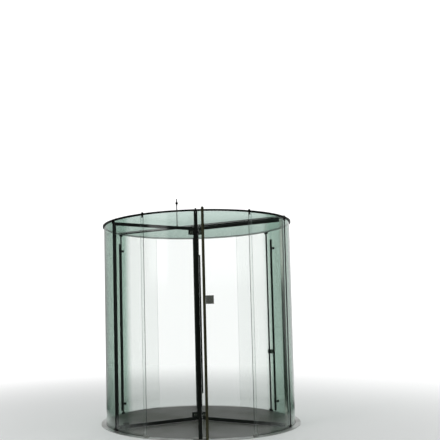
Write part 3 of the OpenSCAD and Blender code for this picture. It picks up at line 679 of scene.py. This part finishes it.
for side in (-1, 1):
    for up in (-1, 1):
        at = outward(box_at + side * plate_screws[0], plate_face, control_z + up * plate_screws[1])
        button_screw(bm, at, 6 * mm)
    turned(bm, collar, outward(box_at + side * button_aside, plate_face, control_z), sides=32)
piece("control_plate", bm, fixing_steel, "drum")
buttons = (("control_button_left", -1, button_red), ("control_button_right", 1, grey_case))
for name, side, finish in buttons:
    bm = bmesh.new()
    at = outward(box_at + side * button_aside, plate_face + button_lift, control_z)
    turned(bm, button, at, sides=32)
    piece(name, bm, finish, "drum")


# Centre shaft: a drawn steel tube with a black coat, grooved for the inner edges of the wings.
# It turns on the floor pivot and in the bearing under the ceiling bar.
dress(["centre_shaft"], black_coat)


# Hubs: black clamps at the inner corners of the wings, on a collar round the shaft.
# Each side of an arm is closed by a satin grey-green plate with two screws.
dress(["top_hub", "bottom_hub"], black_coat, 0.8 * mm)
wing_turn = 2
wing_at = {"left": 210 + wing_turn, "right": 330 + wing_turn, "back": 90 + wing_turn}

hub_plate, wire = new_finish("hub_plate")
lines = wire.noise(1.0, 2.0, (30, 30, 900))
tone = wire.blend(lines, (0.058, 0.070, 0.054, 1), (0.090, 0.104, 0.082, 1))
put_out(wire, wire.node("BsdfPrincipled", {}, {
    "Base Color": tone, "Metallic": 0.6, "Roughness": 0.36 + lines * 0.14,
    "Normal": wire.bump(lines, 0.1, 0.0003)}))


def face_out(at, x, y, z):
    """A place on the face of a wing, with its own Z pointing off the face."""
    sign = 1 if y > 0 else -1
    return turn_to(at) @ Matrix.Translation((x, y, z)) @ Matrix.Rotation(-sign * math.pi / 2, 4, "X")


def block(bm, x, y, z, edge, place):
    """A plate or bar with softened edges, from its ends along each axis."""
    rows = []
    for level, inset in ((z[0], edge), (z[0] + edge, 0), (z[1] - edge, 0), (z[1], edge)):
        x0, x1, y0, y1 = x[0] + inset, x[1] - inset, y[0] + inset, y[1] - inset
        nick = edge * (0.5 if inset else 1)
        outline = [(x0 + nick, y0), (x1 - nick, y0), (x1, y0 + nick), (x1, y1 - nick),
                   (x1 - nick, y1), (x0 + nick, y1), (x0, y1 - nick), (x0, y0 + nick)]
        rows.append([bm.verts.new(place @ Vector((px, py, level))) for px, py in outline])
    loft(bm, rows)


hub_low = {"top_hub": 3011 * mm, "bottom_hub": 65 * mm}
recess, cover_face = 19 * mm, 21.4 * mm
cover_x, cover_z = (65 * mm, 123.5 * mm), (12.5 * mm, 63.5 * mm)
cover_screws_x = (78 * mm, 110.5 * mm)
for hub, low in hub_low.items():
    plates, screws = bmesh.new(), bmesh.new()
    for at in wing_at.values():
        for side in (-1, 1):
            y = sorted((side * recess, side * cover_face))
            block(plates, cover_x, y, (low + cover_z[0], low + cover_z[1]), 0.6 * mm, turn_to(at))
            for x in cover_screws_x:
                button_screw(screws, face_out(at, x, side * cover_face, low + sum(cover_z) / 2), 11 * mm)
    piece(hub + "_plates", plates, hub_plate, "rotor")
    piece(hub + "_screws", screws, fixing_steel, "rotor")


# Wings: toughened glass held in black rails at the top and bottom and by an outer stile.
# The right wing's stile is polished steel. Rubber glazing strips close the glass grooves.
# Its last colour is painted shade for where a wing's glass is seen at a slant.
wing_glass = clear_glass("wing_glass", (0.965, 0.979, 0.972), 12 * mm, 0.005, (0.84, 0.88, 0.86))
polished, wire = new_finish("polished_stile")
drawn = wire.noise(1.0, 2.0, (700, 700, 3))
marks = wire.ramp(wire.noise(7, 6.0), 0.50, 0.72)
tone = wire.blend(drawn, (0.88, 0.85, 0.80, 1), (0.97, 0.94, 0.90, 1))
put_out(wire, wire.node("BsdfPrincipled", {}, {
    "Base Color": wire.blend(marks * 0.3, tone, (0.70, 0.67, 0.62, 1)), "Metallic": 1.0,
    "Roughness": 0.05 + marks * 0.07 + drawn * 0.03}))

rubber, wire = new_finish("glazing_rubber")
cloud = wire.noise(30, 4.0)
put_out(wire, wire.node("BsdfPrincipled", {}, {
    "Base Color": wire.blend(cloud, (0.012, 0.012, 0.012, 1), (0.028, 0.028, 0.026, 1)),
    "Roughness": 0.55 + cloud * 0.2}))

rail_edge, rail_face = 1 * mm, 15 * mm
strip_x, strip_z, strip_w = (137 * mm, 1431.8 * mm), (65.1 * mm, 3086.9 * mm), 3.4 * mm
stile_mid = 1451 * mm
stile_strip_x, stile_strip_z = (1428.5 * mm, 1431.9 * mm), (68.7 * mm, 3083.3 * mm)
rail_screws_x, rail_screws_z = (160 * mm, 420 * mm, 700 * mm, 980 * mm, 1250 * mm), (42 * mm, 3107 * mm)
for wing, at in wing_at.items():
    dress([wing + "_wing_glass"], wing_glass)
    dress([wing + "_wing_top_rail", wing + "_wing_bottom_rail"], black_coat, rail_edge)
    dress([wing + "_wing_stile"], polished if wing == "right" else black_coat, rail_edge)
    bm = bmesh.new()
    for side in (-1, 1):
        y = sorted((side * 6.1 * mm, side * 9.5 * mm))
        block(bm, strip_x, y, (strip_z[0], strip_z[0] + strip_w), 0.8 * mm, turn_to(at))
        block(bm, strip_x, y, (strip_z[1] - strip_w, strip_z[1]), 0.8 * mm, turn_to(at))
        block(bm, stile_strip_x, y, stile_strip_z, 0.8 * mm, turn_to(at))
    piece(wing + "_wing_glazing_strips", bm, rubber, "rotor")
    bm = bmesh.new()
    for side in (-1, 1):
        for z in rail_screws_z:
            button_screw(bm, face_out(at, stile_mid, side * rail_face, z), 10 * mm)
    for z in rail_screws_z:
        for x in rail_screws_x:
            button_screw(bm, face_out(at, x, -rail_face, z), 8 * mm)
    piece(wing + "_wing_rail_screws", bm, black_coat, "rotor")


# Brushes: rows of black nylon tufts in a holder, along three edges of each wing.
# They close the gap to the walls, the floor and the ceiling.
tuft_pitch, holder_half, holder_share = 6 * mm, 4.5 * mm, 0.35
tuft_root, tuft_tip, tuft_lean = (2.4 * mm, 3.2 * mm), (2.0 * mm, 1.2 * mm), 0.6 * mm
draw = random.Random(11)

nylon, wire = new_finish("black_nylon")
strands = wire.noise(1.0, 2.0, (1200, 1200, 300))
put_out(wire, wire.node("BsdfPrincipled", {}, {
    "Base Color": wire.blend(strands, (0.006, 0.006, 0.006, 1), (0.028, 0.028, 0.027, 1)),
    "Roughness": 0.5 + strands * 0.25}))


def brush(bm, start, end, root, tip, place, upright):
    """A holder and its tufts, from start to end along the edge, and from root to tip across it."""
    holder = root + (tip - root) * holder_share
    along, across = (start, end), sorted((root, holder))
    x, z = (across, along) if upright else (along, across)
    block(bm, x, (-holder_half, holder_half), z, 0.5 * mm, place)
    count = int((end - start) / tuft_pitch)
    for i in range(count):
        middle = start + (i + 0.5) * (end - start) / count
        lean = draw.uniform(-1, 1) * tuft_lean
        rows = []
        for reach, (half_w, half_t), shift in ((holder, tuft_root, 0), (tip, tuft_tip, lean)):
            row = []
            for du, dv in ((-1, -1), (1, -1), (1, 1), (-1, 1)):
                u = min(max(middle + shift + du * half_w, start), end)
                v = dv * half_t
                row.append(bm.verts.new(place @ Vector((reach, v, u) if upright else (u, v, reach))))
            rows.append(row)
        loft(bm, rows)


fit = 0.1 * mm
brush_low, brush_high, brush_in, brush_out = 15 * mm, 3135 * mm, 74.5 * mm, 1480 * mm
stile_out, rail_low, rail_high = 1470 * mm, 20 * mm, 3127 * mm
for wing, at in wing_at.items():
    bm = bmesh.new()
    brush(bm, brush_low, brush_high, stile_out + fit, brush_out, turn_to(at), True)
    brush(bm, brush_in, stile_out - fit, rail_low - fit, brush_low, turn_to(at), False)
    brush(bm, brush_in, stile_out - fit, rail_high + fit, brush_high, turn_to(at), False)
    piece(wing + "_wing_bristles", bm, nylon, "rotor", [wing + "_wing_brushes"])


# Push bars: tall black tubes on two standoffs that are bolted through the glass.
# A rosette closes each hole, with a cap nut on the far side, and domed caps close the tube.
push_x, push_y = 1323 * mm, -105 * mm
push_ends = (270 * mm, 2810 * mm)
standoffs = (388 * mm, 2692 * mm)
seat = 12 * mm
dome = [(15 * mm, 0), (14.6 * mm, 1.6 * mm), (12.6 * mm, 4 * mm), (8.6 * mm, 6 * mm), (3 * mm, 7 * mm)]
cap_nut = [(11 * mm, 0), (11 * mm, 3 * mm), (9 * mm, 6 * mm), (5 * mm, 7.6 * mm)]
rosette = [(10.5 * mm, 0), (10.5 * mm, 5 * mm), (8.4 * mm, 7 * mm)]
for wing, at in wing_at.items():
    dress([wing + "_push_bar"], black_coat)
    bm = bmesh.new()
    for z, way in zip(push_ends, (upside_down, Matrix())):
        turned(bm, dome, turn_to(at) @ Matrix.Translation((push_x, push_y, z)) @ way)
    for z in standoffs:
        turned(bm, cap_nut, face_out(at, push_x, seat, z))
        turned(bm, rosette, face_out(at, push_x, -seat, z))
    piece(wing + "_push_bar_caps", bm, black_coat, "rotor")


# Floor bolt: a grey case on the left wing's bottom rail, whose rod drops into the floor.
# A key turns the cylinder in its face, and four screws hold the case.
bolt_case, wire = new_finish("floor_bolt_case")
cloud = wire.noise(14, 4.0)
grain = wire.noise(600, 2.0)
put_out(wire, wire.node("BsdfPrincipled", {}, {
    "Base Color": wire.blend(cloud, (0.016, 0.019, 0.016, 1), (0.030, 0.033, 0.029, 1)),
    "Roughness": 0.36 + cloud * 0.14,
    "Normal": wire.bump(grain, 0.15, 0.0004)}))
dress(["floor_bolt"], bolt_case, 2 * mm)
bolt_x, bolt_face, bolt_key_z = 1320 * mm, 41 * mm, 77 * mm
bolt_screws_x, bolt_screws_z = (bolt_x - 37 * mm, bolt_x + 37 * mm), (31 * mm, 101 * mm)


def lock_cylinder(bm, place, size):
    """A lock cylinder of that diameter, with its plug."""
    half = size / 2
    turned(bm, [(half, 0), (half, 2.6 * mm), (half * 0.9, 3.2 * mm), (half * 0.62, 3.2 * mm),
                (half * 0.62, 2.6 * mm), (half * 0.58, 3.4 * mm)], place, sides=32)


cylinder_sunk, keyway_sunk = 4 * mm, 0.6 * mm
keyway_w, keyway_l, keyway_d = (-0.9 * mm, 0.9 * mm), (-4.5 * mm, 4.5 * mm), (-0.4 * mm, 0.3 * mm)
bm = bmesh.new()
lock_cylinder(bm, face_out(wing_at["left"], bolt_x, bolt_face - cylinder_sunk, bolt_key_z), 22 * mm)
for x in bolt_screws_x:
    for z in bolt_screws_z:
        button_screw(bm, face_out(wing_at["left"], x, bolt_face, z), 7 * mm)
piece("floor_bolt_cylinder", bm, hub_plate, "rotor")
bm = bmesh.new()
at = face_out(wing_at["left"], bolt_x, bolt_face - keyway_sunk, bolt_key_z)
block(bm, keyway_w, keyway_l, keyway_d, 0.1 * mm, at)
piece("floor_bolt_keyway", bm, rubber, "rotor")


# Night leaves: two curved panes of 10 mm toughened glass outside the walls.
# They hang from rollers on the top ring and meet in the middle of the opening.
leaf_in, leaf_out = 1506 * mm, 1516 * mm
leaf_low, leaf_high = 16 * mm, 3135 * mm
leaf_mid = 1511 * mm
meeting_half = arc(25 * mm, leaf_mid)
tail_lap, stile_bite, meeting_gap = arc(38 * mm, leaf_mid), arc(12 * mm, leaf_mid), arc(5 * mm, leaf_mid)
left_tail, right_tail = 240 - tail_lap, 300 + tail_lap
left_nose, right_nose = 270 - meeting_half + stile_bite, 270 + meeting_half + meeting_gap
# Its last colour is painted shade for where a leaf's glass is seen at a slant.
leaf_glass = clear_glass("leaf_glass", (0.975, 0.985, 0.98), 10 * mm, 0.005, (0.86, 0.90, 0.88))
for leaf, start, end in (("left_leaf", left_tail, left_nose), ("right_leaf", right_nose, right_tail)):
    bm = bmesh.new()
    bent_pane(bm, leaf_in, leaf_out, leaf_low, leaf_high, start, end)
    piece(leaf + "_pane", bm, leaf_glass, leaf, [leaf + "_glass"])
dress(["left_leaf_stile"], black_coat, 1 * mm)


# Leaf hangers: black brackets over the top ring's edge, each with a roller on the ring.
# The bracket is screwed to the glass or the stile, and a nut holds the roller's axle.
dress(["left_leaf_hangers", "right_leaf_hanger"], black_coat, 0.6 * mm)
tail_inset = arc(40 * mm, leaf_mid)
roller_z, hanger_screws_z = 3169.3 * mm, (3108 * mm, 3126 * mm)
on_glass, on_stile = 1531 * mm, 1533 * mm
hangers = (("left_leaf", "left_leaf_tail_hanger", left_tail + tail_inset, on_glass),
           ("left_leaf", "left_leaf_stile_hanger", 270, on_stile),
           ("right_leaf", "right_leaf_tail_hanger", right_tail - tail_inset, on_glass))
axle_nut = [(5.4 * mm, 0), (5.8 * mm, 0.5 * mm), (5.8 * mm, 3.5 * mm), (5.4 * mm, 4 * mm)]
axle_end = [(3 * mm, 3.8 * mm), (3 * mm, 5.5 * mm), (2.4 * mm, 6.1 * mm)]
for leaf, name, angle, face in hangers:
    bm = bmesh.new()
    at = outward(angle, face, roller_z)
    turned(bm, axle_nut, at, sides=6)
    turned(bm, axle_end, at, sides=16)
    for z in hanger_screws_z:
        button_screw(bm, outward(angle, face, z), 9 * mm)
    piece(name + "_nut", bm, fixing_steel, leaf)


# Guide shoes: stainless channels that steady the lower edges of the leaves over the floor ring.
# Two button-head screws hold each shoe to its leaf.
dress(["left_leaf_shoes", "right_leaf_shoes"], fixing_steel, 0.5 * mm)
shoe, shoe_face, shoe_screw_z = arc(70 * mm, leaf_mid), 1520 * mm, 26 * mm
shoes = {"left_leaf": (left_tail, 270 - meeting_half - shoe),
         "right_leaf": (right_nose, right_tail - shoe)}
for leaf, starts in shoes.items():
    bm = bmesh.new()
    for start in starts:
        for share in (0.22, 0.78):
            button_screw(bm, outward(start + shoe * share, shoe_face, shoe_screw_z), 8 * mm)
    piece(leaf + "_shoe_screws", bm, fixing_steel, leaf)


# Leaf post: a tall round post of dark polished steel on four brackets, with a domed top.
# A roller near its top runs on the ring, and flanges spread each bracket's load on the glass.
post_finish, wire = new_finish("dark_polished_post")
drawn = wire.noise(1.0, 2.0, (600, 600, 2.5))
cloud = wire.noise(1.6, 5.0)
touched = wire.ramp(wire.noise(12, 6.0, (1, 1, 0.4)), 0.52, 0.7)
tone = wire.blend(cloud, (0.036, 0.036, 0.016, 1), (0.066, 0.064, 0.032, 1))
tone = wire.blend(drawn * 0.3, tone, (0.085, 0.080, 0.052, 1))
put_out(wire, wire.node("BsdfPrincipled", {}, {
    "Base Color": tone, "Metallic": 0.6, "Roughness": 0.14 + touched * 0.12 + drawn * 0.06}))
dress(["right_leaf_post"], post_finish)
post_at = 270 + arc(92 * mm, leaf_mid)
bracket_end, bracket_count = 150 * mm, 4
bracket_low, bracket_high = leaf_low + bracket_end, leaf_high - bracket_end
flange = [(17 * mm, 0), (17 * mm, 2.4 * mm), (15 * mm, 4 * mm), (9.2 * mm, 4 * mm)]
inner_cap = [(15 * mm, 0), (15 * mm, 1.6 * mm), (13.6 * mm, 2.4 * mm)]
roller_cap = [(8 * mm, 0), (8 * mm, 3 * mm), (7 * mm, 4 * mm)]
roller_face, post_roller_z = 1517.2 * mm, 3174.3 * mm
bm = bmesh.new()
for i in range(bracket_count):
    z = bracket_low + i * (bracket_high - bracket_low) / (bracket_count - 1)
    turned(bm, flange, outward(post_at, leaf_out, z), sides=32)
    turned(bm, inner_cap, inward(post_at, leaf_in, z), sides=32)
turned(bm, roller_cap, outward(post_at, roller_face, post_roller_z))
piece("right_leaf_post_flanges", bm, post_finish, "right_leaf")


# Leaf lock: a grey case on the glass beside the post, with a cylinder in its face.
# Four screws hold the case, and a slot in the cylinder takes the key.
dress(["right_leaf_lock"], grey_case, 2 * mm)
lock_mid, lock_beside, lock_w = 1536 * mm, 24 * mm, 105 * mm
lock_at = post_at + arc(lock_beside + lock_w / 2, lock_mid)
lock_z, lock_face = 1905 * mm, 1556 * mm
lock_screws = (arc(43 * mm, lock_face), 48 * mm)
bm = bmesh.new()
lock_cylinder(bm, outward(lock_at, lock_face - cylinder_sunk, lock_z), 26 * mm)
for side in (-1, 1):
    for up in (-1, 1):
        at = outward(lock_at + side * lock_screws[0], lock_face, lock_z + up * lock_screws[1])
        button_screw(bm, at, 8 * mm)
piece("right_leaf_lock_cylinder", bm, fixing_steel, "right_leaf")
bm = bmesh.new()
block(bm, keyway_l, keyway_w, keyway_d, 0.1 * mm, outward(lock_at, lock_face - keyway_sunk, lock_z))
piece("right_leaf_lock_keyway", bm, rubber, "right_leaf")


low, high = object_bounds()
